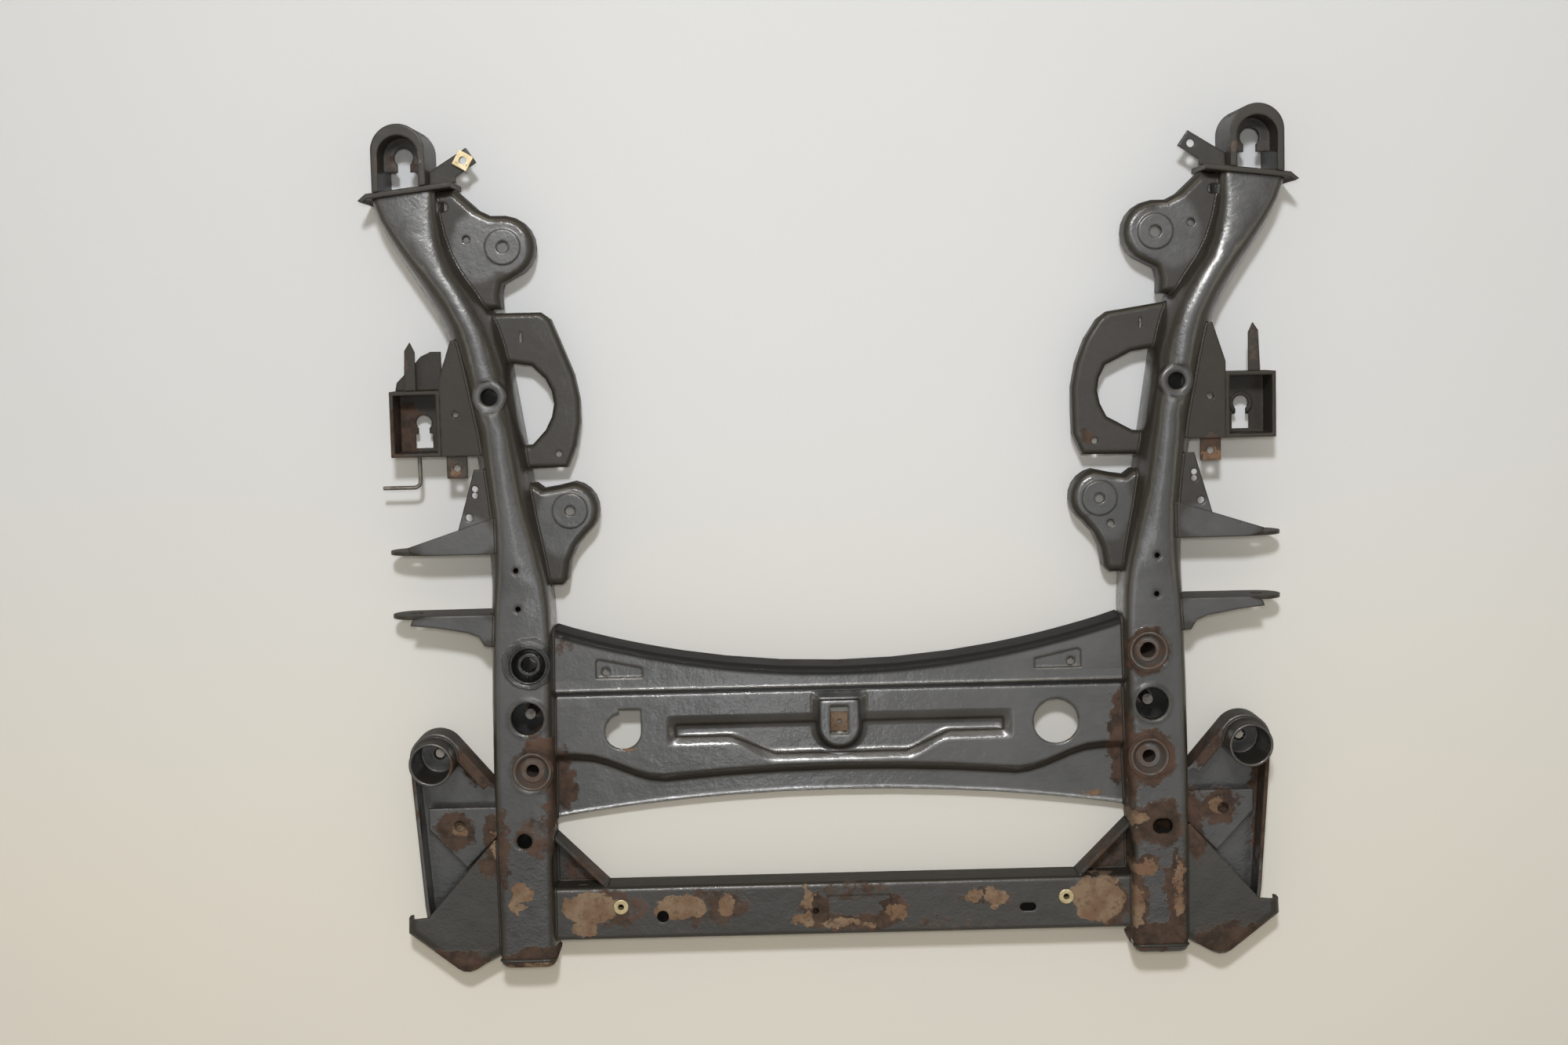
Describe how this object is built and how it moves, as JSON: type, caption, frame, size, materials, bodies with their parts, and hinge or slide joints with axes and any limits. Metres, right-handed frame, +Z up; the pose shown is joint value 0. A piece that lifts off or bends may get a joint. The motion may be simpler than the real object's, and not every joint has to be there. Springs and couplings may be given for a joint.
{
  "type": "car front subframe",
  "caption": "U-shaped welded pressed-steel car front subframe with curved side rails, crossmember, rear crossbar and bracketry that carries engine and suspension.",
  "frame": {"origin": "midpoint between the two front body-mount sleeves, on the plane the part lies on", "axes": "+X across the car to the picture's right, +Y along the rails towards their free front ends, +Z up, out of the plane the part lies on"},
  "size_m": [1.0038, 0.9303, 0.094],
  "materials": {
    "paint": "worn satin black paint with rust at joints and holes",
    "zinc": "dull yellow zinc plating",
    "steel": "bare steel with brown rust and grease"
  },
  "bodies": {
    "root": {"rail_upper_left": "paint", "rail_upper_right": "paint", "rail_lower_left": "paint", "rail_lower_right": "paint", "rail_cap_left": "paint", "rail_cap_right": "paint", "body_sleeves_front": "steel", "body_sleeves_rear": "steel", "rail_studs": "zinc", "ear_left": "paint", "ear_right": "paint", "shelf_left": "paint", "shelf_right": "paint", "tab_left": "paint", "tab_right": "paint", "tab_nut": "zinc", "front_pad_left": "paint", "front_pad_right": "paint", "rear_pad_left": "paint", "rear_pad_right": "paint", "guard_left": "paint", "guard_right": "paint", "box_left": "paint", "box_right": "paint", "link_left": "paint", "link_right": "paint", "box_arch": "paint", "clip_left": "paint", "clip_right": "paint", "nut_tab_left": "paint", "nut_tab_right": "paint", "hook_rod": "zinc", "web_left": "paint", "web_right": "paint", "fork_front_left": "paint", "fork_front_right": "paint", "fork_rear_left": "paint", "fork_rear_right": "paint", "crossmember": "paint", "crossbar": "paint", "bar_inserts": "zinc", "bar_gusset_left": "paint", "bar_gusset_right": "paint", "corner_left": "paint", "corner_right": "paint", "cover_left": "paint", "cover_right": "paint", "brace_left": "paint", "brace_right": "paint", "corner_sleeve_left": "paint", "corner_sleeve_right": "paint"}
  },
  "joints": []
}
